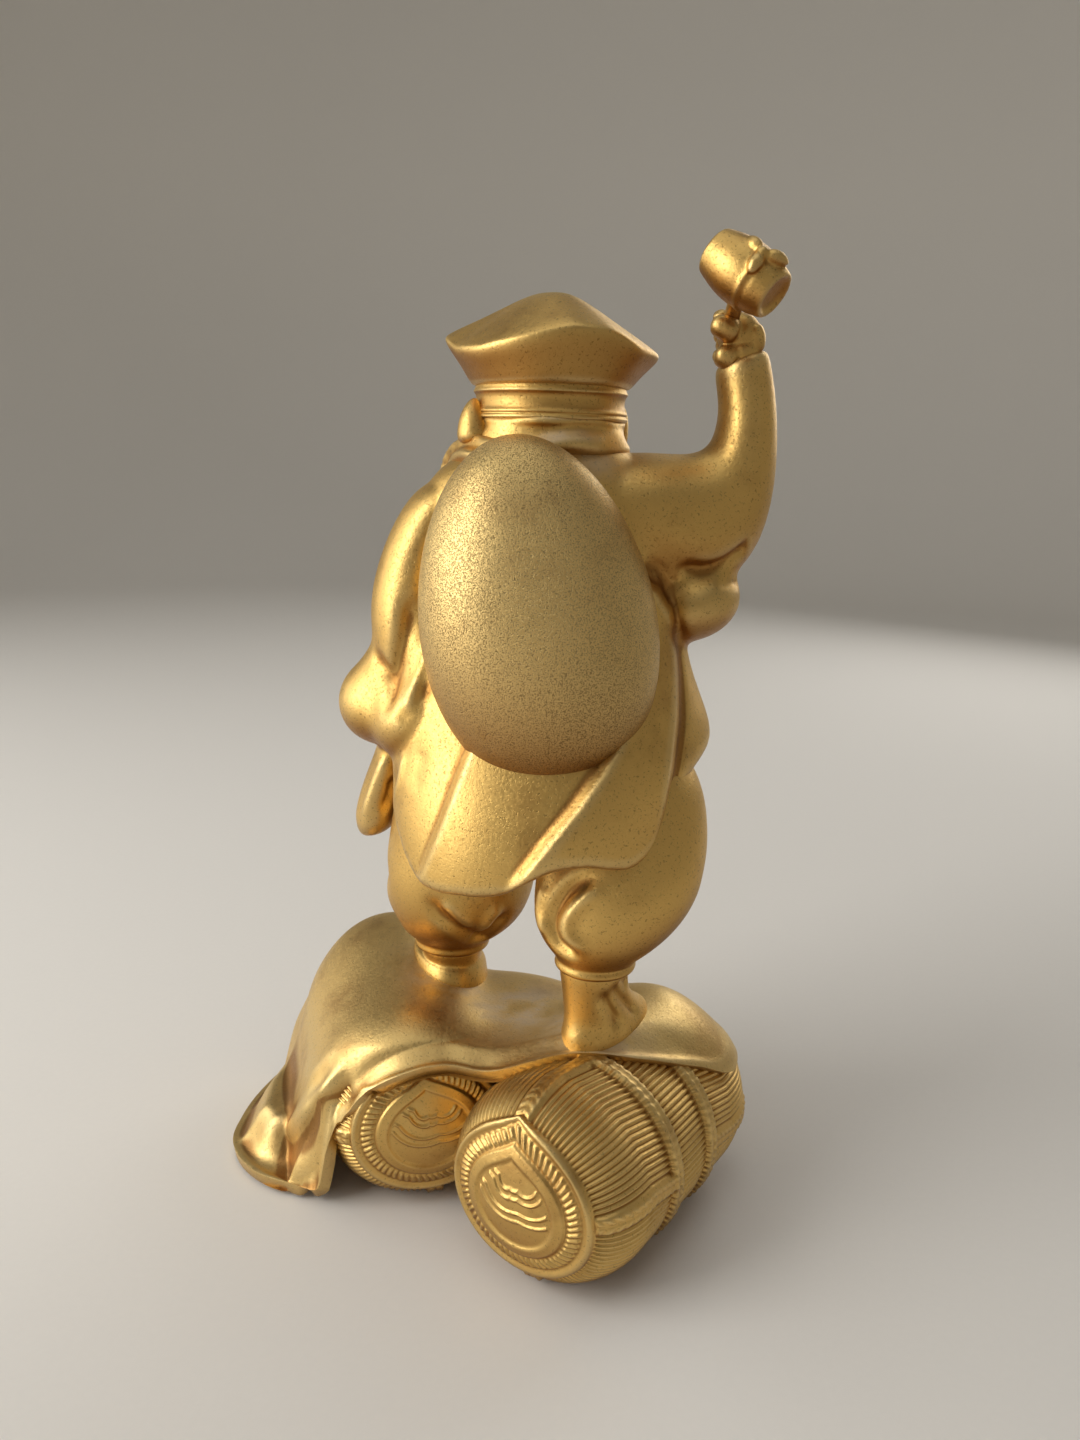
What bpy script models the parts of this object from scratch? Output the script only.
"""A gilt cast figure with a sack and a mallet, standing on a cloth over two straw bales.

Sizes are in metres. The figure faces -Y and carries its sack on the +Y side. Right and left are the
figure's own, so its right hand is at -X. The origin is under the middle of the finished figure's box.
"""

import math

import bmesh
import bpy
from mathutils import Matrix, Vector

# Fits
GAP = 0.0003
BORE_ROOM = 0.0004

# Felt pads under the bales
FELT_THICKNESS = 0.0008
FELT_WIDTH = 0.0070
FELT_LENGTH = 0.0280

# Straw bales: a drum with domed ends and rounded shoulders, flattened underneath, with two rope bands round it
BALE_RADIUS = 0.0160
BALE_END_RADIUS = 0.0124
BALE_SPREAD_RATIO = 1.09
BALE_LENGTH = 0.0500
BALE_SHOULDER = 0.0100
BALE_SHOULDER_START = math.radians(26.0)
BALE_DOME = 0.0030
BALE_FLAT = 0.0010
BAND_HEIGHT = 0.0006
BAND_WIDTH = 0.0030
BAND_SPACING = 0.0120
MEDALLION_RADIUS = 0.0119
MEDALLION_RAISE = 0.0004
BORDER_WIDTH = 0.0014
BORDER_HEIGHT = 0.0006
DISC_RADIUS = 0.0086
WIRE_WIDTH = 0.0010
WIRE_HEIGHT = 0.0004
WIRE_SLOPE = 0.3
RIGHT_BALE_END = (-0.0036, 0.0400)
RIGHT_BALE_HEADING = math.radians(-35.0)
LEFT_BALE_END = (0.0136, 0.0212)
LEFT_BALE_HEADING = math.radians(15.0)

# Cloth over the bales
CLOTH_THICKNESS = 0.0013
CLOTH_CLEARANCE = 0.0008
CLOTH_LEAVES_AT = math.radians(12.0)
CLOTH_HEM_HEIGHT = 0.0020
CLOTH_CORNER_REACH = 0.0345
CLOTH_CORNER_ALONG = 0.0205
CLOTH_SIDE_REACH = 0.0240
CLOTH_FRONT_OVERHANG = 0.0050
CLOTH_BACK_OVERHANG = 0.0040
CLOTH_MIDDLE_SAG = 0.0030
CLOTH_MIDDLE_RADIUS = 0.0200
CLOTH_BUNCH = 0.0030
CLOTH_BUNCH_RADIUS = 0.0150
CLOTH_RINGS = 10
CLOTH_SECTORS = 44

# Boots, standing on the cloth
RIGHT_FOOT = (-0.0145, 0.0190)
LEFT_FOOT = (0.0115, -0.0020)
RIGHT_TOE_HEADING = math.radians(-37.0)
LEFT_TOE_HEADING = math.radians(8.0)
RIGHT_BOOT_HEIGHT = 0.0118
LEFT_BOOT_HEIGHT = 0.0050
BOOT_SHAFT_RADIUS = 0.0062
BOOT_LENGTH = 0.0204
BOOT_WIDTH = 0.0120
BOOT_TOE_HEIGHT = 0.0030
BOOT_DIP = 0.0064

# Screws up through each bale into its boot and leg
SCREW_RADIUS = 0.00125
SCREW_HEAD_RADIUS = 0.0023
SCREW_HEAD_HEIGHT = 0.0016
SCREW_HEAD_DEPTH = 0.0080
SCREW_GRIP = 0.0080

# Trouser legs: hips are set from the coat's middle
GATHER_RADIUS = 0.0068
BULGE_RADIUS = 0.0138
HIP_RADIUS = 0.0112
RIGHT_BULGE_OFFSET = (-0.0022, 0.0000)
LEFT_BULGE_OFFSET = (-0.0010, 0.0000)
RIGHT_HIP = (-0.0153, 0.0070)
LEFT_HIP = (0.0125, 0.0000)

# Coat: the hem's height is above the cloth's crown
COAT_CENTRE = -0.0042
COAT_HEIGHT = 0.0700
HEM_HEIGHT = 0.0265
HEM_SIDE_RISE = 0.0200
HEM_SIDE_START = 0.0200
SKIRT_HALF_WIDTH = 0.0255
SKIRT_HALF_DEPTH = 0.0230
SKIRT_BACK_SHIFT = 0.0060
FLARE_HALF_WIDTH = 0.0315
FLARE_SHIFT = -0.0034
WAIST_HALF_WIDTH = 0.0245
WAIST_HALF_DEPTH = 0.0178
CHEST_HALF_WIDTH = 0.0235
CHEST_HALF_DEPTH = 0.0160
COLLAR_WIDTH = 0.0033
SKIRT_WALL = 0.0017
SKIRT_HOLLOW = 0.0225
COAT_SIDES = 64
COAT_ROUNDING = 0.978

# Raised panel on the coat's back and the lap across it: (height above the hem, aside) along their edges
PANEL_RAISE = 0.0016
PANEL_EDGE = 0.0024
PANEL_LEFT = ((0.0000, 0.0200), (0.0235, 0.0114), (0.0450, 0.0100))
PANEL_RIGHT = ((0.0070, -0.0200), (0.0230, -0.0250), (0.0480, -0.0205))
PANEL_TOP = 0.0450
LAP_RAISE = 0.0016
LAP_EDGE = ((0.0000, 0.0045), (0.0300, -0.0159))
LAP_TOP = 0.0280

# Coat tail at the figure's left, set from the side of the chest
TAIL_TOP_ASIDE = 0.0022
TAIL_TOP_FORWARD = 0.0070
TAIL_TIP_ASIDE = 0.0092
TAIL_TIP_FORWARD = 0.0085
TAIL_BELOW_ELBOW = 0.0052
TAIL_LENGTH = 0.0243
TAIL_HALF_WIDTH = 0.0042
TAIL_HALF_DEPTH = 0.0080

# Sack on the back: its middle is set from the coat's middle and from the back of the chest
SACK_ASIDE = 0.0012
SACK_BEHIND = 0.0010
SACK_HALF_WIDTH = 0.0189
SACK_HALF_DEPTH = 0.0143
SACK_HALF_HEIGHT = 0.0287
SACK_DROP = 0.0259
SACK_LEAN = math.radians(10.8)
SACK_TAPER = 0.10

# Sack's neck, twisted tight, over the left shoulder beside the scarf and down to the left hand
MOUTH_NECK_RADIUS = 0.0036
MOUTH_FRILL_RADIUS = 0.0058
MOUTH_BESIDE_SCARF = 0.0021
MOUTH_ABOVE_SHOULDER = 0.0010
MOUTH_FRONT_DROP = 0.0050
GRIP_ASIDE = 0.0020
GRIP_FORWARD = 0.0025
GRIP_DROP = 0.0140
FRILL_FORWARD = 0.0025
FRILL_DROP = 0.0065

# Sleeves
RIGHT_SLEEVE_DROP = 0.0310
RIGHT_SLEEVE_DEPTH = 0.0185
ELBOW_REACH = 0.0020
FOREARM_WIDTH = 0.0095
FOREARM_LENGTH = 0.0162
LEFT_SLEEVE_HALF_WIDTH = 0.0068
LEFT_SLEEVE_HALF_DEPTH = 0.0092
LEFT_SLEEVE_BOW = 0.0030
LEFT_SLEEVE_TOP_DROP = 0.0045
LEFT_ELBOW_RADIUS = 0.0082
LEFT_ELBOW_ASIDE = 0.0029
LEFT_ELBOW_BACK = 0.0015
LEFT_ELBOW_DROP = 0.0420
LEFT_CUFF_OFFSET = (0.0030, 0.0030, -0.0095)

# Hands and mallet
FIST_SIZE = 0.0078
FIST_ASIDE = 0.0034
FIST_BACK = 0.0010
FIST_RISE = 0.0046
WRIST_RADIUS = 0.0030
MALLET_LENGTH = 0.0124
MALLET_RADIUS = 0.0047
MALLET_END_RADIUS = 0.0034
MALLET_ARM = 0.0110
HANDLE_RADIUS = 0.0014
HANDLE_BELOW_FIST = 0.0055
HANDLE_LEAN = (-0.06, 0.76, 0.65)
MALLET_HEADING = (-0.68, 0.28, -0.68)

# Head, scarf and cap
NECK_RADIUS = 0.0072
NECK_DEPTH = 0.0045
HEAD_HALF_WIDTH = 0.0116
HEAD_HALF_DEPTH = 0.0124
HEAD_FORWARD = 0.0030
BEARD_LENGTH = 0.0150
BEARD_HALF_WIDTH = 0.0085
BEARD_HALF_DEPTH = 0.0048
BEARD_FORWARD = 0.0055
CHIN_BACK = 0.0039
CHIN_HEIGHT = 0.0035
SCARF_ROLL = 0.0023
SCARF_LOOSENESS = 0.0015
BAND_WALL = 0.0018
BAND_ROOF = 0.0010
BAND_RISE = 0.0050
CAP_BAND_HEIGHT = 0.0070
CAP_FORWARD = 0.0020
CROWN_SIDE_OVERHANG = 0.0036
CROWN_BACK_OVERHANG = 0.0020
CROWN_HEIGHT = 0.0138

# Dowels that pin the castings together
DOWEL_RADIUS = 0.0016
DOWEL_LENGTH = 0.0100
SLEEVE_DOWEL_GRIP = 0.0030

GOLD = ("gold_plate", (0.72, 0.47, 0.16), 0.38, 1.0)
STEEL = ("zinc_plated_steel", (0.55, 0.56, 0.57), 0.35, 1.0)
FELT = ("green_felt", (0.06, 0.14, 0.09), 0.95, 0.0)

UP = Vector((0.0, 0.0, 1.0))
ACROSS = Vector((1.0, 0.0, 0.0))

# Heights that stack up from the floor
BALE_AXIS = FELT_THICKNESS + GAP + BALE_RADIUS - BALE_FLAT
CLOTH_RADIUS = BALE_RADIUS + BAND_HEIGHT + CLOTH_CLEARANCE + CLOTH_THICKNESS
CLOTH_CROWN = BALE_AXIS + CLOTH_RADIUS
HEM = CLOTH_CROWN + HEM_HEIGHT
SHOULDER = HEM + COAT_HEIGHT
SKIRT_ROOF = HEM + SKIRT_HOLLOW
SACK_HEIGHT = SHOULDER - SACK_DROP
BAND_BOTTOM = SHOULDER + BAND_RISE
BAND_TOP = BAND_BOTTOM + CAP_BAND_HEIGHT

# Widths that follow from what is inside
NECK_OPENING = NECK_RADIUS + COLLAR_WIDTH
SCARF_RADIUS = NECK_RADIUS + SCARF_LOOSENESS + SCARF_ROLL
BAND_HALF_WIDTH = HEAD_HALF_WIDTH + BAND_WALL
BAND_HALF_DEPTH = HEAD_HALF_DEPTH + BAND_WALL
CROWN_HALF_WIDTH = BAND_HALF_WIDTH + CROWN_SIDE_OVERHANG
CROWN_HALF_DEPTH = BAND_HALF_DEPTH + CROWN_BACK_OVERHANG


def clear_scene():
    """Remove every object that the file starts with."""
    for item in list(bpy.data.objects):
        bpy.data.objects.remove(item, do_unlink=True)


def new_collection(name):
    """Add a collection under the scene."""
    collection = bpy.data.collections.new(name)
    bpy.context.scene.collection.children.link(collection)
    return collection


def finish(name, colour, roughness, metallic):
    """Make a plain material of one colour."""
    material = bpy.data.materials.new(name)
    material.use_nodes = True
    shader = material.node_tree.nodes["Principled BSDF"]
    shader.inputs["Base Color"].default_value = (*colour, 1.0)
    shader.inputs["Roughness"].default_value = roughness
    shader.inputs["Metallic"].default_value = metallic
    return material


clear_scene()
PIECES = new_collection("sack_and_mallet_figure")
CUTTERS = new_collection("cutters")
FINISHES = {spec[0]: finish(*spec) for spec in (GOLD, STEEL, FELT)}
JOINED = {}


def place(name, bm, spec=GOLD, group=None):
    """Turn a bmesh into a named object with outward faces."""
    bmesh.ops.recalc_face_normals(bm, faces=bm.faces)
    mesh = bpy.data.meshes.new(name)
    bm.to_mesh(mesh)
    bm.free()
    mesh.shade_smooth()
    mesh.set_sharp_from_angle(angle=math.radians(40.0))
    mesh.materials.append(FINISHES[spec[0]])
    piece = bpy.data.objects.new(name, mesh)
    (group or PIECES).objects.link(piece)
    if group is CUTTERS:
        piece.hide_render = True
        piece.display_type = "WIRE"
    return piece


def soften(piece, levels):
    """Round a coarse cage with Subdivision Surface."""
    if levels:
        rounding = piece.modifiers.new("rounding", "SUBSURF")
        rounding.levels = levels
        rounding.render_levels = levels
    return piece


def room_for(piece, gap=GAP):
    """Make a cutter that is the piece's own shape grown by a gap all round."""
    cutter = bpy.data.objects.new(piece.name + "_room", piece.data)
    CUTTERS.objects.link(cutter)
    cutter.hide_render = True
    cutter.display_type = "WIRE"
    for source in piece.modifiers:
        if source.type == "SUBSURF":
            soften(cutter, source.levels)
        if source.type == "SOLIDIFY":
            thicken(cutter, source.thickness)
        if source.type == "SCREW":
            turn_round(cutter, source.steps)
    cutter.matrix_world = piece.matrix_world
    growth = cutter.modifiers.new("growth", "DISPLACE")
    growth.strength = gap
    growth.mid_level = 0.0
    return cutter


def fit(piece, *neighbours):
    """Cut room in a piece for its neighbours, with what is fused to them."""
    for neighbour in neighbours:
        cut(piece, *(room_for(shape) for shape in (neighbour, *JOINED.get(neighbour.name, ()))))
    return piece


def cut(piece, *cutters):
    """Cut a piece with one or more closed shapes, also ones that cross themselves where they were grown."""
    for cutter in cutters:
        boolean = piece.modifiers.new("cut_by_" + cutter.name, "BOOLEAN")
        boolean.operation = "DIFFERENCE"
        boolean.solver = "MANIFOLD"
        boolean.object = cutter
    return piece


def join(piece, *additions):
    """Fuse closed shapes into a piece."""
    JOINED[piece.name] = additions
    for addition in additions:
        boolean = piece.modifiers.new("join_" + addition.name, "BOOLEAN")
        boolean.operation = "UNION"
        boolean.object = addition
    return piece


def thicken(piece, thickness):
    """Give an open surface a wall below it."""
    wall = piece.modifiers.new("wall", "SOLIDIFY")
    wall.thickness = thickness
    wall.offset = -1.0
    wall.use_even_offset = True
    return piece


def turn_round(piece, steps):
    """Turn an open profile about the object's Z axis."""
    lathe = piece.modifiers.new("lathe", "SCREW")
    lathe.steps = steps
    lathe.render_steps = steps
    lathe.use_merge_vertices = True
    lathe.merge_threshold = 0.00001
    return piece


def ring(centre, wide, deep, normal=UP, side=ACROSS):
    """Place a unit circle by its centre, its plane, the direction of its width and its two half sizes."""
    normal = Vector(normal).normalized()
    side = Vector(side)
    across = (side - normal * side.dot(normal)).normalized()
    turn = Matrix((across, normal.cross(across), normal)).transposed().to_4x4()
    return Matrix.Translation(Vector(centre)) @ turn @ Matrix.Diagonal((wide, deep, 1.0, 1.0))


def loft(name, rings, sides=12, levels=1, group=None, sharp=(True, True), shape=None):
    """Sweep a circle's face through a row of rings, with flat or rounded ends."""
    bm = bmesh.new()
    crease = bm.edges.layers.float.new("crease_edge")
    bmesh.ops.create_circle(bm, cap_ends=True, radius=1.0, segments=sides, matrix=rings[0])
    bm.faces.ensure_lookup_table()
    face = bm.faces[0]
    ends = [list(face.edges)]
    for index in range(1, len(rings)):
        passed = face
        swept = bmesh.ops.extrude_face_region(bm, geom=[passed], use_keep_orig=True)
        face = next(item for item in swept["geom"] if isinstance(item, bmesh.types.BMFace))
        step = rings[index] @ rings[index - 1].inverted()
        bmesh.ops.transform(bm, matrix=step, verts=face.verts)
        if index > 1:
            bmesh.ops.delete(bm, geom=[passed], context="FACES_ONLY")
    ends.append(list(face.edges))
    for edges, keep in zip(ends, sharp):
        for edge in edges:
            edge[crease] = 1.0 if keep else 0.0
    if shape:
        for vert in bm.verts:
            vert.co = shape(vert.co)
    return soften(place(name, bm, GOLD, group), levels)


def rod(name, low, high, radius, spec=STEEL, group=None, sides=14):
    """Make a round bar between two points."""
    low = Vector(low)
    high = Vector(high)
    along = high - low
    bm = bmesh.new()
    seat = ring((low + high) / 2.0, 1.0, 1.0, along, ACROSS if abs(along.normalized().x) < 0.9 else UP)
    bmesh.ops.create_cone(bm, cap_ends=True, segments=sides, radius1=radius, radius2=radius,
                          depth=along.length, matrix=seat)
    return place(name, bm, spec, group)


def lathe(name, outline, seat, steps, spec=GOLD):
    """Turn an outline of (radius, height) points about the axis of a placed ring."""
    bm = bmesh.new()
    verts = [bm.verts.new((radius, 0.0, height)) for radius, height in outline]
    for first, second in zip(verts, verts[1:]):
        bm.edges.new((first, second))
    piece = place(name, bm, spec)
    turn_round(piece, steps)
    piece.matrix_world = seat
    return piece


class Bale:
    """The place of one bale: its near end, the way it lies, and its axis."""

    def __init__(self, end, heading):
        self.along = Vector((math.sin(heading), -math.cos(heading), 0.0))
        self.outward = Vector((-self.along.y, self.along.x, 0.0))
        self.end = Vector((*end, BALE_AXIS))
        self.middle = self.end + self.along * BALE_LENGTH / 2.0

    def local(self, x, y):
        """Give the distance along the bale from its near end, and the distance to its left."""
        offset = Vector((x, y, 0.0)) - Vector((self.end.x, self.end.y, 0.0))
        return offset.dot(self.along), offset.dot(self.outward)

    def plan(self, along, aside):
        """Give the plan point at a distance along the bale and to its left."""
        point = self.end + self.along * along + self.outward * aside
        return Vector((point.x, point.y, 0.0))


RIGHT_BALE = Bale(RIGHT_BALE_END, RIGHT_BALE_HEADING)
LEFT_BALE = Bale(LEFT_BALE_END, LEFT_BALE_HEADING)


def drum_radius(distance):
    """Give a bale's radius at a distance from its near end."""
    depth = min(distance, BALE_LENGTH - distance)
    if depth >= BALE_SHOULDER:
        return BALE_RADIUS
    part = (1.0 - max(depth, 0.0) / BALE_SHOULDER) * math.cos(BALE_SHOULDER_START)
    low = math.sin(BALE_SHOULDER_START)
    swell = (math.sqrt(1.0 - part * part) - low) / (1.0 - low)
    return BALE_END_RADIUS + (BALE_RADIUS - BALE_END_RADIUS) * swell


def end_spot(radius, height):
    """Give a point of a bale's profile at a radius and a height over its domed end."""
    dome = BALE_DOME * max(1.0 - (radius / BALE_END_RADIUS) ** 2, 0.0)
    return radius, BALE_LENGTH / 2.0 + dome + height


def medallion_outline():
    """Give the profile of a bale's end, from its middle out: a disc, a wire, a flat ring and a border."""
    outline = [end_spot(0.0, MEDALLION_RAISE), end_spot(DISC_RADIUS / 2.0, MEDALLION_RAISE)]
    for radius, width, height in ((DISC_RADIUS, WIRE_WIDTH, WIRE_HEIGHT),
                                  (MEDALLION_RADIUS, BORDER_WIDTH, BORDER_HEIGHT)):
        crest = MEDALLION_RAISE + height
        outline += [end_spot(radius - width, MEDALLION_RAISE),
                    end_spot(radius - width * (1.0 - WIRE_SLOPE), crest),
                    end_spot(radius - width * WIRE_SLOPE, crest), end_spot(radius, MEDALLION_RAISE)]
    return outline


def make_bale(name, bale):
    """Make a straw bale with a medallion on each end and two rope bands, ground flat underneath."""
    half = medallion_outline()
    for share in (0.0, 0.12, 0.4, 0.75):
        half.append((drum_radius(BALE_SHOULDER * share), BALE_LENGTH / 2.0 - BALE_SHOULDER * share))
    for offset, lift in ((0.5, 0.0), (0.25, 1.0), (-0.25, 1.0), (-0.5, 0.0)):
        half.append((BALE_RADIUS + lift * BAND_HEIGHT, BAND_SPACING / 2.0 + offset * BAND_WIDTH))
    outline = half + [(radius, -height) for radius, height in reversed(half)]
    piece = lathe(name, outline, ring(bale.middle, BALE_SPREAD_RATIO, 1.0, -bale.along, bale.outward), 24)
    floor = bmesh.new()
    block = FELT_THICKNESS + GAP
    bmesh.ops.create_cube(floor, size=1.0)
    bmesh.ops.scale(floor, vec=(BALE_LENGTH * 2.0, BALE_LENGTH * 2.0, BALE_RADIUS), verts=floor.verts)
    middle = Vector((bale.middle.x, bale.middle.y, block - BALE_RADIUS / 2.0))
    bmesh.ops.translate(floor, vec=middle, verts=floor.verts)
    return cut(piece, place(name + "_floor", floor, GOLD, CUTTERS))


def make_felt(name, bale):
    """Make a felt pad under a bale's flat."""
    bm = bmesh.new()
    bmesh.ops.create_cube(bm, size=1.0)
    bmesh.ops.scale(bm, vec=(FELT_WIDTH, FELT_LENGTH, FELT_THICKNESS), verts=bm.verts)
    piece = place(name, bm, FELT)
    seat = Vector((bale.middle.x, bale.middle.y, FELT_THICKNESS / 2.0))
    piece.matrix_world = ring(seat, 1.0, 1.0, UP, bale.outward)
    return piece


def blend_high(*heights):
    """Give the highest of several heights, rounded where two are close."""
    width = CLOTH_THICKNESS
    top = max(heights)
    return top + width * math.log(sum(math.exp((height - top) / width) for height in heights))


def tent(distance, reach, radius):
    """Give the height of a cloth that lies on a round bar, leaves it low down and flares to its hem."""
    touch = radius * math.cos(CLOTH_LEAVES_AT)
    if distance <= touch:
        return BALE_AXIS + math.sqrt(radius * radius - distance * distance)
    drop = BALE_AXIS + radius * math.sin(CLOTH_LEAVES_AT) - CLOTH_HEM_HEIGHT
    flare = max(reach, radius * 1.02) - touch
    share = max(1.0 - (distance - touch) / flare, 0.0)
    bend = max(flare / drop / math.tan(CLOTH_LEAVES_AT), 1.0)
    return CLOTH_HEM_HEIGHT + drop * share ** bend


def over_bale(bale, x, y, reach):
    """Give the cloth's height over one bale."""
    along, aside = bale.local(x, y)
    past = max(along - (BALE_LENGTH - BALE_SHOULDER), 0.0)
    radius = CLOTH_RADIUS - (BALE_RADIUS - drum_radius(max(along, 0.0)) if along < BALE_SHOULDER else 0.0)
    return tent(math.hypot(aside / BALE_SPREAD_RATIO, past), reach / BALE_SPREAD_RATIO, radius)


def cloth_height(x, y):
    """Give the height of the cloth's upper face over a point of the plan."""
    along, aside = LEFT_BALE.local(x, y)
    swell = min(max(along / CLOTH_CORNER_ALONG, 0.0), 1.0)
    corner = CLOTH_RADIUS + (CLOTH_CORNER_REACH - CLOTH_RADIUS) * math.sin(swell * math.pi / 2.0)
    left = over_bale(LEFT_BALE, x, y, corner if aside > 0.0 else CLOTH_SIDE_REACH)
    right = over_bale(RIGHT_BALE, x, y, CLOTH_SIDE_REACH)
    between = (LEFT_BALE.middle + RIGHT_BALE.middle) / 2.0
    away = math.hypot(x - between.x, y - between.y)
    mound = CLOTH_CROWN - CLOTH_MIDDLE_SAG * (1.0 + (away / CLOTH_MIDDLE_RADIUS) ** 4)
    bunch = math.hypot(aside - CLOTH_BUNCH, along - BALE_LENGTH * 0.75) / CLOTH_BUNCH_RADIUS
    return blend_high(left, right, mound) + CLOTH_BUNCH * math.exp(-bunch * bunch)


def cloth_outline():
    """Give the corners of the cloth's edge in plan, going round from its corner on the floor."""
    half = BALE_RADIUS
    past = BALE_LENGTH + CLOTH_FRONT_OVERHANG
    on_left = [
        (CLOTH_CORNER_ALONG, CLOTH_CORNER_REACH),
        (CLOTH_CORNER_ALONG * 0.3, CLOTH_CORNER_REACH * 0.68),
        (-CLOTH_BACK_OVERHANG * 0.25, half * 0.95),
        (-CLOTH_BACK_OVERHANG, 0.0),
    ]
    on_right = [
        (BALE_LENGTH * 0.13, half * 1.05),
        (BALE_LENGTH * 0.30, half * 0.30),
        (BALE_LENGTH * 0.47, -half * 0.44),
        (BALE_LENGTH * 0.86, -half * 1.08),
        (past, -half * 0.5),
        (past, half * 0.6),
    ]
    left_front = [(past, -half * 0.6), (past, half * 0.5), (BALE_LENGTH * 0.75, CLOTH_SIDE_REACH * 1.15)]
    return ([LEFT_BALE.plan(*spot) for spot in on_left] + [RIGHT_BALE.plan(*spot) for spot in on_right]
            + [LEFT_BALE.plan(*spot) for spot in left_front])


def edge_distance(outline, middle, angle):
    """Give the distance from the middle to the cloth's edge in one direction."""
    corners = sorted((math.atan2(p.y - middle.y, p.x - middle.x), math.hypot(p.x - middle.x, p.y - middle.y))
                     for p in outline)
    turn = 2.0 * math.pi
    corners = [(corners[-1][0] - turn, corners[-1][1])] + corners + [(corners[0][0] + turn, corners[0][1])]
    angle = (angle + math.pi) % turn - math.pi
    for (first, near), (second, far) in zip(corners, corners[1:]):
        if first <= angle <= second:
            share = (angle - first) / (second - first)
            return near + (far - near) * share * share * (3.0 - 2.0 * share)
    return corners[0][1]


def cloth_mesh(lift=0.0):
    """Spin a spoke into a disc of cloth and lay it over the bales."""
    outline = cloth_outline()
    middle = sum(outline, Vector()) / len(outline)
    bm = bmesh.new()
    spoke = [bm.verts.new((share / CLOTH_RINGS, 0.0, 0.0)) for share in range(CLOTH_RINGS + 1)]
    edges = [bm.edges.new(pair) for pair in zip(spoke, spoke[1:])]
    bmesh.ops.spin(bm, geom=spoke + edges, cent=(0.0, 0.0, 0.0), axis=UP, angle=2.0 * math.pi,
                   steps=CLOTH_SECTORS, use_merge=True)
    bmesh.ops.remove_doubles(bm, verts=bm.verts, dist=0.0001)
    for vert in bm.verts:
        angle = math.atan2(vert.co.y, vert.co.x)
        reach = edge_distance(outline, middle, angle)
        x = middle.x + vert.co.x * reach
        y = middle.y + vert.co.y * reach
        vert.co = (x, y, cloth_height(x, y) + lift)
    return bm


def make_cloth():
    """Make the draped cloth, a sheet with a wall below its upper face."""
    piece = place("cloth_cover", cloth_mesh())
    if piece.data.polygons[0].normal.z < 0.0:
        piece.data.flip_normals()
    return thicken(piece, CLOTH_THICKNESS)


def make_ground_cutter():
    """Make a block whose top is the cloth's upper face, raised by the gap."""
    bm = cloth_mesh(GAP)
    swept = bmesh.ops.extrude_face_region(bm, geom=bm.faces[:], use_keep_orig=True)
    for item in swept["geom"]:
        if isinstance(item, bmesh.types.BMVert):
            item.co.z = -BALE_RADIUS
    return place("ground", bm, GOLD, CUTTERS)


def make_boot(name, foot, heading, height, ground):
    """Make a short boot with its toe turned out, cut to sit on the cloth."""
    toe = Vector((math.sin(heading), -math.cos(heading), 0.0))
    stand = cloth_height(*foot)
    shaft = Vector((*foot, stand))
    half = BOOT_LENGTH / 2.0
    forward = half - BOOT_SHAFT_RADIUS
    instep = (BOOT_TOE_HEIGHT + height) / 2.0
    rings = [
        ring(shaft + toe * forward - UP * BOOT_DIP, half, BOOT_WIDTH / 2.0, UP, toe),
        ring(shaft + toe * forward + UP * BOOT_TOE_HEIGHT, half, BOOT_WIDTH / 2.0, UP, toe),
        ring(shaft + toe * forward * 0.35 + UP * instep, half * 0.72, BOOT_WIDTH / 2.0, UP, toe),
        ring(shaft + UP * height, BOOT_SHAFT_RADIUS, BOOT_SHAFT_RADIUS, UP, toe),
    ]
    return cut(loft(name, rings, sides=10), ground)


def from_coat(aside, back, height):
    """Give a point set from the coat's middle."""
    return Vector((COAT_CENTRE + aside, back, height))


def make_leg(name, foot, boot_height, bulge, hip):
    """Make a full trouser leg, gathered over the boot and tucked up under the coat."""
    gather = Vector((*foot, cloth_height(*foot) + boot_height + GAP))
    top = from_coat(*hip, SKIRT_ROOF - GAP)
    swell = gather.lerp(top, 0.45) + Vector((*bulge, 0.0))
    low = gather.lerp(swell, 0.42)
    rings = [
        ring(gather, GATHER_RADIUS, GATHER_RADIUS),
        ring(low, BULGE_RADIUS * 0.98, BULGE_RADIUS * 0.92),
        ring(swell, BULGE_RADIUS * 1.06, BULGE_RADIUS * 0.98),
        ring(swell.lerp(top, 0.55), (BULGE_RADIUS + HIP_RADIUS) / 2.0, (BULGE_RADIUS + HIP_RADIUS) / 2.0),
        ring(top, HIP_RADIUS, HIP_RADIUS),
    ]
    return loft(name, rings, sides=12)


def ease(share):
    """Ease from 0 to 1, held at both ends."""
    share = min(max(share, 0.0), 1.0)
    return share * share * (3.0 - 2.0 * share)


def hem_lift(x):
    """Give how far the hem rises at the figure's right side."""
    return HEM_SIDE_RISE * ease((COAT_CENTRE - HEM_SIDE_START - x) / (SKIRT_HALF_WIDTH - HEM_SIDE_START))


def edge_at(edge, height):
    """Give how far aside an edge of (height, aside) points is at a height, held past its ends."""
    for (low, first), (high, second) in zip(edge, edge[1:]):
        if height < high:
            return first + (second - first) * max((height - low) / (high - low), 0.0)
    return edge[-1][1]


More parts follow.
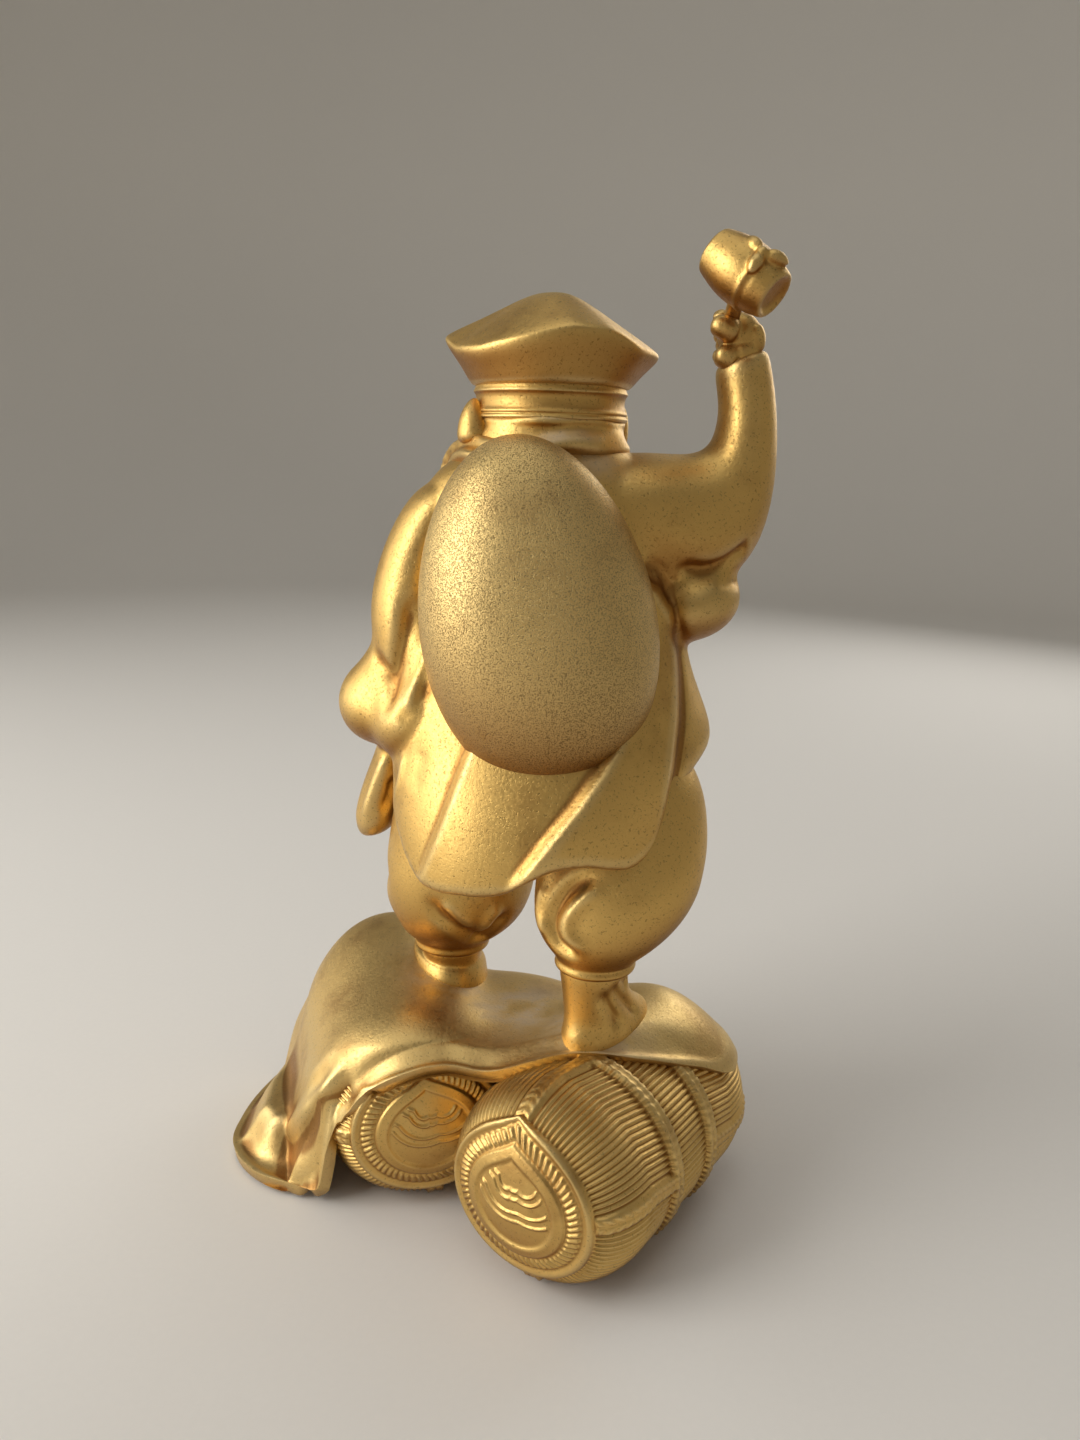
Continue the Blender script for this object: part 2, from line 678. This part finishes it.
def panel_raise(aside, height):
    """Give how far the coat's back is raised: a panel, and the lap that crosses it from the right."""
    within = ease((edge_at(PANEL_LEFT, height) - aside) / PANEL_EDGE + 0.5)
    within *= ease((aside - edge_at(PANEL_RIGHT, height)) / PANEL_EDGE + 0.5)
    lap = ease((edge_at(LAP_EDGE, height) - aside) / PANEL_EDGE + 0.5)
    panel = PANEL_RAISE * ease((PANEL_TOP - height) / PANEL_EDGE)
    return within * (panel + LAP_RAISE * lap * ease((LAP_TOP - height) / PANEL_EDGE))


def refined(levels):
    """Give rows of ring values at twice as many heights, placed as Subdivision Surface would place them."""
    fine = [levels[0]]
    for before, here, after in zip(levels, levels[1:], levels[2:]):
        fine.append([(a + b) / 2.0 for a, b in zip(before, here)])
        fine.append([(a + 6.0 * b + c) / 8.0 for a, b, c in zip(before, here, after)])
    fine.append([(a + b) / 2.0 for a, b in zip(levels[-2], levels[-1])])
    fine.append(levels[-1])
    return fine


def make_coat():
    """Make the coat's body with the raised panel on its back, hollow under the skirt."""
    def drape(point):
        aside = point.x - COAT_CENTRE
        share = min(max((point.z - HEM) / (COAT_HEIGHT * 0.28), 0.0), 1.0)
        lifted = point + UP * hem_lift(point.x) * (1.0 - share)
        if point.y < 0.0:
            return lifted
        return lifted + Vector((aside, point.y, 0.0)).normalized() * panel_raise(aside, lifted.z - HEM)

    levels = [
        (0.00, SKIRT_HALF_WIDTH, SKIRT_HALF_DEPTH, SKIRT_BACK_SHIFT, 0.0),
        (0.14, SKIRT_HALF_WIDTH, SKIRT_HALF_DEPTH, SKIRT_BACK_SHIFT * 0.8, 0.0),
        (0.31, FLARE_HALF_WIDTH, SKIRT_HALF_DEPTH * 0.92, SKIRT_BACK_SHIFT * 0.4, FLARE_SHIFT),
        (0.46, WAIST_HALF_WIDTH, WAIST_HALF_DEPTH, 0.0, 0.0),
        (0.63, CHEST_HALF_WIDTH, CHEST_HALF_DEPTH, 0.0, 0.0),
        (0.82, CHEST_HALF_WIDTH * 0.97, CHEST_HALF_DEPTH * 0.94, 0.0, 0.0),
        (0.94, CHEST_HALF_WIDTH * 0.86, CHEST_HALF_DEPTH * 0.80, 0.0, 0.0),
        (1.00, NECK_OPENING * 1.2, NECK_OPENING, 0.0, 0.0),
    ]
    rings = []
    for share, wide, deep, back, aside in refined(refined(levels)):
        centre = from_coat(aside, back, HEM + COAT_HEIGHT * share)
        rings.append(ring(centre, wide * COAT_ROUNDING, deep * COAT_ROUNDING))
    coat = loft("coat", rings, sides=COAT_SIDES, levels=0, shape=drape)
    inner = SKIRT_HALF_WIDTH - SKIRT_WALL
    inner_deep = SKIRT_HALF_DEPTH - SKIRT_WALL
    hollow = [
        ring(from_coat(0.0, SKIRT_BACK_SHIFT, HEM - SKIRT_HOLLOW), inner, inner_deep),
        ring(from_coat(0.0, SKIRT_BACK_SHIFT * 0.8, HEM + SKIRT_HOLLOW * 0.42), inner, inner_deep),
        ring(from_coat(FLARE_SHIFT, SKIRT_BACK_SHIFT * 0.4, SKIRT_ROOF), SKIRT_HALF_WIDTH, inner_deep * 0.90),
    ]
    return cut(coat, loft("skirt_hollow", hollow, sides=24, levels=0, group=CUTTERS))


def make_tail():
    """Make the coat's flap that hangs at the figure's left."""
    height = SHOULDER - LEFT_ELBOW_DROP - TAIL_BELOW_ELBOW
    top = from_coat(CHEST_HALF_WIDTH + TAIL_TOP_ASIDE, -TAIL_TOP_FORWARD, height)
    tip = from_coat(CHEST_HALF_WIDTH + TAIL_TIP_ASIDE, -TAIL_TIP_FORWARD, height - TAIL_LENGTH)
    lean = tip - top
    rings = [
        ring(tip, TAIL_HALF_WIDTH * 0.7, TAIL_HALF_DEPTH * 0.7, -lean),
        ring(tip.lerp(top, 0.18), TAIL_HALF_WIDTH, TAIL_HALF_DEPTH, -lean),
        ring(tip.lerp(top, 0.6), TAIL_HALF_WIDTH * 0.8, TAIL_HALF_DEPTH, -lean),
        ring(top, TAIL_HALF_WIDTH * 0.6, TAIL_HALF_DEPTH * 0.8, -lean),
    ]
    return loft("coat_tail", rings, sides=10, sharp=(False, True))


def sack_point(x, y, z):
    """Carry a point of the sack's own frame into the figure's, leaning with the sack."""
    lean = Matrix.Rotation(SACK_LEAN, 4, "Y")
    return from_coat(SACK_ASIDE, CHEST_HALF_DEPTH + SACK_BEHIND, SACK_HEIGHT) + lean @ Vector((x, y, z))


def make_sack():
    """Make the egg-shaped sack."""
    bm = bmesh.new()
    bmesh.ops.create_uvsphere(bm, u_segments=22, v_segments=14, radius=1.0)
    for vert in bm.verts:
        slim = 1.0 - SACK_TAPER * vert.co.z
        x = vert.co.x * SACK_HALF_WIDTH * slim
        y = vert.co.y * SACK_HALF_DEPTH * slim
        vert.co = sack_point(x, y, vert.co.z * SACK_HALF_HEIGHT)
    return place("sack", bm)


def mouth_grip():
    """Give the point where the left hand holds the sack's neck."""
    beside = SCARF_RADIUS + SCARF_ROLL + MOUTH_BESIDE_SCARF
    return from_coat(beside + GRIP_ASIDE, -CHEST_HALF_DEPTH - GRIP_FORWARD, SHOULDER - GRIP_DROP)


def make_sack_mouth():
    """Make the sack's twisted neck, from the sack to its frilled mouth in the left hand."""
    beside = SCARF_RADIUS + SCARF_ROLL + MOUTH_BESIDE_SCARF
    start = sack_point(0.25 * SACK_HALF_WIDTH, -0.6 * SACK_HALF_DEPTH, 0.80 * SACK_HALF_HEIGHT)
    over = from_coat(beside, 0.0, SHOULDER + MOUTH_ABOVE_SHOULDER)
    front = from_coat(beside + GRIP_ASIDE * 0.8, -CHEST_HALF_DEPTH * 0.7, SHOULDER - MOUTH_FRONT_DROP)
    grip = mouth_grip()
    frill = grip - Vector((0.0, FRILL_FORWARD, FRILL_DROP))
    path = [start, over, front, grip, grip.lerp(frill, 0.5), frill]
    neck = MOUTH_NECK_RADIUS
    radii = [neck * 1.3, neck * 1.15, neck, neck * 0.9, MOUTH_FRILL_RADIUS * 0.8, MOUTH_FRILL_RADIUS]
    return loft("sack_mouth", along_path(path, radii), sides=10)


def along_path(path, radii):
    """Place a round ring at each point of a path, square to it."""
    rings = []
    for index, (point, radius) in enumerate(zip(path, radii)):
        before = path[max(index - 1, 0)]
        after = path[min(index + 1, len(path) - 1)]
        rings.append(ring(point, radius, radius, after - before))
    return rings


def arm_bend():
    """Give the point on top where the raised sleeve turns up into the forearm."""
    return from_coat(-CHEST_HALF_WIDTH - ELBOW_REACH, 0.0, SHOULDER)


def cuff_place():
    """Give the middle of the raised right cuff."""
    return arm_bend() + Vector((-FOREARM_WIDTH * 0.70, 0.0, FOREARM_LENGTH))


def fan_ring(inner, outer, deep):
    """Place a ring between two points in a plane that faces the back."""
    across = Vector(outer) - Vector(inner)
    normal = Vector((0.0, 1.0, 0.0)).cross(across)
    return ring((Vector(inner) + Vector(outer)) / 2.0, across.length / 2.0, deep, normal, across)


def make_right_sleeve():
    """Make the raised sleeve: a wide hanging pouch whose rings fan round the bend into the forearm."""
    bend = arm_bend()
    deep = RIGHT_SLEEVE_DEPTH / 2.0
    thin = FOREARM_WIDTH / 2.0

    def spot(aside, rise):
        """Count aside in forearm widths, and up in forearm lengths or down in sleeve drops."""
        height = FOREARM_LENGTH if rise > 0.0 else RIGHT_SLEEVE_DROP
        return bend + Vector((FOREARM_WIDTH * aside, 0.0, height * rise))

    rings = [
        fan_ring(spot(1.63, 0.03), spot(1.63, -0.76), deep),
        fan_ring(spot(0.79, 0.05), spot(0.68, -0.90), deep * 1.04),
        fan_ring(spot(0.13, 0.03), spot(-0.13, -1.03), deep),
        fan_ring(spot(-0.06, 0.07), spot(-0.95, -0.73), deep * 0.92),
        fan_ring(spot(-0.20, 0.19), spot(-1.38, -0.26), deep * 0.78),
        fan_ring(spot(-0.29, 0.50), spot(-1.33, 0.42), thin * 1.16),
        fan_ring(spot(-0.26, 1.00), spot(-1.14, 1.00), thin * 1.04),
    ]
    return loft("right_sleeve", rings, sides=12)


def make_left_sleeve():
    """Make the lowered sleeve: an arm that hangs to a pouch at the elbow, and a forearm reaching forward."""
    elbow = from_coat(CHEST_HALF_WIDTH + LEFT_ELBOW_ASIDE, LEFT_ELBOW_BACK, SHOULDER - LEFT_ELBOW_DROP)
    shoulder = from_coat(CHEST_HALF_WIDTH * 0.66, 0.0, SHOULDER - LEFT_SLEEVE_TOP_DROP)
    wide = LEFT_SLEEVE_HALF_WIDTH
    deep = LEFT_SLEEVE_HALF_DEPTH
    rings = [
        ring(elbow - UP * LEFT_ELBOW_RADIUS, LEFT_ELBOW_RADIUS * 0.62, deep * 0.7),
        ring(elbow - UP * LEFT_ELBOW_RADIUS * 0.55, LEFT_ELBOW_RADIUS, deep),
        ring(elbow + UP * LEFT_ELBOW_RADIUS * 0.4, LEFT_ELBOW_RADIUS, deep),
        ring(elbow.lerp(shoulder, 0.40) + ACROSS * LEFT_SLEEVE_BOW * 0.4, wide, deep),
        ring(elbow.lerp(shoulder, 0.72) + ACROSS * LEFT_SLEEVE_BOW, wide, deep),
        ring(shoulder, wide * 0.9, deep * 0.8),
    ]
    arm = loft("left_sleeve", rings, sides=12, sharp=(False, False))
    cuff = left_cuff()
    reach = [elbow, elbow.lerp(cuff, 0.55), cuff]
    radii = [LEFT_ELBOW_RADIUS * 0.75, LEFT_ELBOW_RADIUS * 0.75, LEFT_ELBOW_RADIUS * 0.7]
    return join(arm, loft("left_forearm", along_path(reach, radii), sides=10, group=CUTTERS))


def left_cuff():
    """Give the middle of the lowered sleeve's cuff."""
    return mouth_grip() + Vector(LEFT_CUFF_OFFSET)


def make_head():
    """Make the head on its neck, with a beard."""
    forward = -HEAD_FORWARD
    rings = [
        ring(from_coat(0.0, 0.0, SHOULDER - NECK_DEPTH), NECK_RADIUS, NECK_RADIUS),
        ring(from_coat(0.0, forward * 0.3, SHOULDER), NECK_RADIUS * 1.1, NECK_RADIUS * 1.15),
        ring(from_coat(0.0, forward, SHOULDER + BAND_RISE * 0.5), HEAD_HALF_WIDTH, HEAD_HALF_DEPTH),
        ring(from_coat(0.0, forward, BAND_BOTTOM), HEAD_HALF_WIDTH, HEAD_HALF_DEPTH),
        ring(from_coat(0.0, -CAP_FORWARD, BAND_TOP - BAND_ROOF), HEAD_HALF_WIDTH, HEAD_HALF_DEPTH),
    ]
    head = loft("head", rings, sides=14)
    chin = from_coat(0.0, CHIN_BACK - HEAD_FORWARD - HEAD_HALF_DEPTH, BAND_BOTTOM - CHIN_HEIGHT)
    tip = chin - Vector((0.0, BEARD_FORWARD, BEARD_LENGTH))
    beard = [
        ring(tip, BEARD_HALF_WIDTH * 0.2, BEARD_HALF_DEPTH * 0.35),
        ring(tip.lerp(chin, 0.5), BEARD_HALF_WIDTH * 0.66, BEARD_HALF_DEPTH * 0.75),
        ring(chin, BEARD_HALF_WIDTH, BEARD_HALF_DEPTH),
        ring(chin + UP * CHIN_HEIGHT, BEARD_HALF_WIDTH * 0.82, BEARD_HALF_DEPTH * 0.83),
    ]
    return join(head, loft("beard", beard, sides=10, group=CUTTERS, sharp=(False, True)))


def make_scarf():
    """Make the rolled scarf round the neck."""
    bm = bmesh.new()
    bmesh.ops.create_circle(bm, segments=8, radius=SCARF_ROLL)
    bmesh.ops.rotate(bm, verts=bm.verts, cent=(0.0, 0.0, 0.0), matrix=Matrix.Rotation(math.pi / 2.0, 3, "X"))
    bmesh.ops.translate(bm, verts=bm.verts, vec=(SCARF_RADIUS, 0.0, 0.0))
    bmesh.ops.spin(bm, geom=bm.verts[:] + bm.edges[:], cent=(0.0, 0.0, 0.0), axis=UP, angle=2.0 * math.pi,
                   steps=18, use_merge=True)
    bmesh.ops.translate(bm, verts=bm.verts, vec=from_coat(0.0, 0.0, SHOULDER + SCARF_ROLL * 0.6))
    return place("neck_scarf", bm)


def make_band():
    """Make the cap's band round the head."""
    rings = [
        ring(from_coat(0.0, -CAP_FORWARD, BAND_BOTTOM), BAND_HALF_WIDTH * 0.96, BAND_HALF_DEPTH * 0.96),
        ring(from_coat(0.0, -CAP_FORWARD, (BAND_BOTTOM + BAND_TOP) / 2.0), BAND_HALF_WIDTH, BAND_HALF_DEPTH),
        ring(from_coat(0.0, -CAP_FORWARD, BAND_TOP), BAND_HALF_WIDTH, BAND_HALF_DEPTH),
    ]
    return loft("cap_band", rings, sides=18)


def make_crown():
    """Make the cap's soft crown, wider than its band and drawn up to a low peak."""
    middle = from_coat(0.0, -CAP_FORWARD, BAND_TOP + GAP)
    rings = [
        ring(middle, BAND_HALF_WIDTH * 0.98, BAND_HALF_DEPTH * 0.98),
        ring(middle + UP * CROWN_HEIGHT * 0.20, CROWN_HALF_WIDTH, CROWN_HALF_DEPTH),
        ring(middle + UP * CROWN_HEIGHT * 0.42, CROWN_HALF_WIDTH * 1.02, CROWN_HALF_DEPTH),
        ring(middle + UP * CROWN_HEIGHT * 0.80, CROWN_HALF_WIDTH * 0.52, CROWN_HALF_DEPTH * 0.62),
        ring(middle + UP * CROWN_HEIGHT * 1.02, CROWN_HALF_WIDTH * 0.14, CROWN_HALF_DEPTH * 0.25),
    ]
    return loft("cap_crown", rings, sides=14, sharp=(True, False))


def fist_place():
    """Give the middle of the right fist."""
    return cuff_place() + Vector((FIST_ASIDE, FIST_BACK, FIST_RISE))


def handle_axis():
    """Give the direction of the mallet's handle, from its butt up."""
    return Vector(HANDLE_LEAN).normalized()


def make_handle_bore():
    """Make the bore that the mallet's handle turns in, through the fist and past the cuff."""
    fist = fist_place()
    reach = handle_axis() * (HANDLE_BELOW_FIST + FIST_SIZE)
    return rod("handle_bore", fist - reach, fist + reach, HANDLE_RADIUS + BORE_ROOM, GOLD, CUTTERS)


def make_right_hand():
    """Make the right fist, with its wrist in the cuff."""
    fist = fist_place()
    cuff = cuff_place()
    wrist = cuff - UP * WRIST_RADIUS
    rings = [
        ring(wrist, WRIST_RADIUS, WRIST_RADIUS),
        ring(cuff, WRIST_RADIUS, WRIST_RADIUS),
        ring(fist - UP * FIST_SIZE * 0.20, FIST_SIZE * 0.55, FIST_SIZE * 0.52),
        ring(fist + UP * FIST_SIZE * 0.35, FIST_SIZE * 0.52, FIST_SIZE * 0.5),
    ]
    return loft("right_hand", rings, sides=10)


def make_left_hand():
    """Make the left fist, closed on the sack's neck."""
    grip = mouth_grip()
    cuff = left_cuff()
    rings = [
        ring(cuff + (cuff - grip) * 0.25, WRIST_RADIUS, WRIST_RADIUS, grip - cuff),
        ring(cuff.lerp(grip, 0.15), WRIST_RADIUS, WRIST_RADIUS, grip - cuff),
        ring(cuff.lerp(grip, 0.7), FIST_SIZE * 0.6, FIST_SIZE * 0.6, grip - cuff),
        ring(grip.lerp(cuff, -0.3), FIST_SIZE * 0.58, FIST_SIZE * 0.58, grip - cuff),
    ]
    return loft("left_hand", rings, sides=10)


def make_mallet():
    """Make the mallet's barrel and its handle, on an empty that lies on the handle's axis."""
    fist = fist_place()
    axis = handle_axis()
    heading = Vector(MALLET_HEADING)
    heading = (heading - axis * heading.dot(axis)).normalized()
    centre = fist + axis * MALLET_ARM
    seat = centre - axis * MALLET_RADIUS * 0.35
    half = MALLET_LENGTH / 2.0
    outline = [(0.0, half), (MALLET_END_RADIUS, half)]
    for share in (0.66, 0.33, 0.0, -0.33, -0.66):
        swell = math.cos(share * math.pi / 2.0)
        outline.append((MALLET_END_RADIUS + (MALLET_RADIUS - MALLET_END_RADIUS) * swell, half * share))
    outline += [(MALLET_END_RADIUS, -half), (0.0, -half)]
    head = lathe("mallet_head", outline, ring(centre, 1.0, 1.0, heading, axis), 16)
    handle = rod("mallet_handle", fist - axis * HANDLE_BELOW_FIST, seat, HANDLE_RADIUS, GOLD)
    cut(head, rod("mallet_socket", fist, seat + axis * GAP, HANDLE_RADIUS + GAP, GOLD, CUTTERS))
    return head, handle


def pin(name, first, second, at, axis, grip=DOWEL_LENGTH / 2.0):
    """Pin two castings together with a steel dowel that goes a grip's length past a point into the second."""
    axis = Vector(axis).normalized()
    tip = Vector(at) + axis * grip
    butt = tip - axis * DOWEL_LENGTH
    bore = rod(name + "_bore", butt - axis * GAP, tip + axis * GAP, DOWEL_RADIUS + GAP, STEEL, CUTTERS, 12)
    cut(first, bore)
    cut(second, bore)
    return rod(name, butt, tip, DOWEL_RADIUS, STEEL, None, 12)


def screw_down(name, foot, bale, cloth, boot, leg, boot_height):
    """Put a screw up through bale, cloth and boot into the trouser leg, its head in a well."""
    head_seat = Vector((*foot, FELT_THICKNESS + SCREW_HEAD_DEPTH))
    tip = Vector((*foot, cloth_height(*foot) + boot_height + SCREW_GRIP))
    bm = bmesh.new()
    middle = Matrix.Translation(head_seat - UP * SCREW_HEAD_HEIGHT / 2.0)
    bmesh.ops.create_cone(bm, cap_ends=True, segments=14, radius1=SCREW_HEAD_RADIUS,
                          radius2=SCREW_HEAD_RADIUS, depth=SCREW_HEAD_HEIGHT, matrix=middle)
    rounds = [face for face in bm.faces if len(face.verts) > 4]
    cap = max(rounds, key=lambda face: face.calc_center_median().z)
    bmesh.ops.inset_region(bm, faces=[cap], thickness=SCREW_HEAD_RADIUS - SCREW_RADIUS, use_even_offset=True)
    swept = bmesh.ops.extrude_face_region(bm, geom=[cap], use_keep_orig=True)
    shank = [item for item in swept["geom"] if isinstance(item, bmesh.types.BMVert)]
    bmesh.ops.delete(bm, geom=[cap], context="FACES_ONLY")
    bmesh.ops.translate(bm, verts=shank, vec=(0.0, 0.0, tip.z - head_seat.z))
    screw = place(name, bm, STEEL)
    mouth = head_seat - UP * SCREW_HEAD_DEPTH
    bore = rod(name + "_bore", mouth, tip + UP * GAP, SCREW_RADIUS + BORE_ROOM, STEEL, CUTTERS)
    well = rod(name + "_well", mouth - UP * SCREW_HEAD_DEPTH, head_seat + UP * GAP,
               SCREW_HEAD_RADIUS + BORE_ROOM, STEEL, CUTTERS)
    for piece in (bale, cloth, boot, leg):
        cut(piece, bore)
    cut(bale, well)
    return screw


def build():
    """Make every piece, fit neighbours to each other and pin them together."""
    right_bale = make_bale("right_bale", RIGHT_BALE)
    left_bale = make_bale("left_bale", LEFT_BALE)
    make_felt("right_felt_pad", RIGHT_BALE)
    make_felt("left_felt_pad", LEFT_BALE)
    cloth = make_cloth()
    fit(right_bale, cloth)
    fit(left_bale, right_bale, cloth)

    ground = make_ground_cutter()
    right_boot = make_boot("right_boot", RIGHT_FOOT, RIGHT_TOE_HEADING, RIGHT_BOOT_HEIGHT, ground)
    left_boot = make_boot("left_boot", LEFT_FOOT, LEFT_TOE_HEADING, LEFT_BOOT_HEIGHT, ground)
    right_leg = make_leg("right_trouser_leg", RIGHT_FOOT, RIGHT_BOOT_HEIGHT, RIGHT_BULGE_OFFSET, RIGHT_HIP)
    left_leg = make_leg("left_trouser_leg", LEFT_FOOT, LEFT_BOOT_HEIGHT, LEFT_BULGE_OFFSET, LEFT_HIP)
    fit(left_leg, right_leg)

    coat = make_coat()
    head = make_head()
    sack = fit(make_sack(), coat)
    right_sleeve = fit(make_right_sleeve(), coat, sack)
    left_sleeve = fit(make_left_sleeve(), coat, sack)
    fit(make_tail(), coat, left_leg, left_sleeve)
    fit(coat, right_leg, left_leg, head)
    scarf = fit(make_scarf(), coat, head, sack)
    fit(make_band(), head)
    make_crown()
    mouth = fit(make_sack_mouth(), coat, sack, head, scarf, left_sleeve)
    right_hand = make_right_hand()
    fit(right_sleeve, right_hand)
    handle_bore = make_handle_bore()
    cut(right_hand, handle_bore)
    cut(right_sleeve, handle_bore)
    left_hand = fit(make_left_hand(), mouth, coat, head)
    fit(left_sleeve, left_hand)

    mallet_head, mallet_handle = make_mallet()
    pivot = bpy.data.objects.new("mallet_pivot", None)
    PIECES.objects.link(pivot)
    pivot.location = fist_place()
    bpy.context.view_layer.update()
    for piece in (mallet_head, mallet_handle):
        keep = piece.matrix_world.copy()
        piece.parent = pivot
        piece.matrix_world = keep

    pin("neck_dowel", coat, head, from_coat(0.0, 0.0, SHOULDER - NECK_DEPTH), UP)
    pin("right_hip_dowel", coat, right_leg, from_coat(*RIGHT_HIP, SKIRT_ROOF), -UP)
    pin("left_hip_dowel", coat, left_leg, from_coat(*LEFT_HIP, SKIRT_ROOF), -UP)
    shoulder = SHOULDER - RIGHT_SLEEVE_DROP * 0.4
    pin("right_shoulder_dowel", coat, right_sleeve, from_coat(-CHEST_HALF_WIDTH, 0.0, shoulder), -ACROSS)
    pin("left_shoulder_dowel", coat, left_sleeve, from_coat(CHEST_HALF_WIDTH * 0.9, 0.0, shoulder), ACROSS,
        SLEEVE_DOWEL_GRIP)
    pin("sack_dowel", coat, sack, from_coat(0.0, CHEST_HALF_DEPTH, SACK_HEIGHT), (0.0, 1.0, 0.0))
    screw_down("right_boot_screw", RIGHT_FOOT, right_bale, cloth, right_boot, right_leg, RIGHT_BOOT_HEIGHT)
    screw_down("left_boot_screw", LEFT_FOOT, left_bale, cloth, left_boot, left_leg, LEFT_BOOT_HEIGHT)


def centre_on_floor():
    """Move the whole figure so that the origin is under the middle of its box."""
    bpy.context.view_layer.update()
    shown = bpy.context.evaluated_depsgraph_get()
    low = Vector((math.inf, math.inf, math.inf))
    high = -low
    for piece in PIECES.objects:
        if piece.type != "MESH":
            continue
        solid = piece.evaluated_get(shown)
        for vert in solid.data.vertices:
            point = piece.matrix_world @ vert.co
            low = Vector(map(min, low, point))
            high = Vector(map(max, high, point))
    stand = bpy.data.objects.new("figure_origin", None)
    PIECES.objects.link(stand)
    for piece in list(PIECES.objects) + list(CUTTERS.objects):
        if piece.parent is None and piece is not stand:
            piece.parent = stand
    stand.location = (-(low.x + high.x) / 2.0, -(low.y + high.y) / 2.0, -low.z)
    bpy.context.view_layer.update()


build()
centre_on_floor()
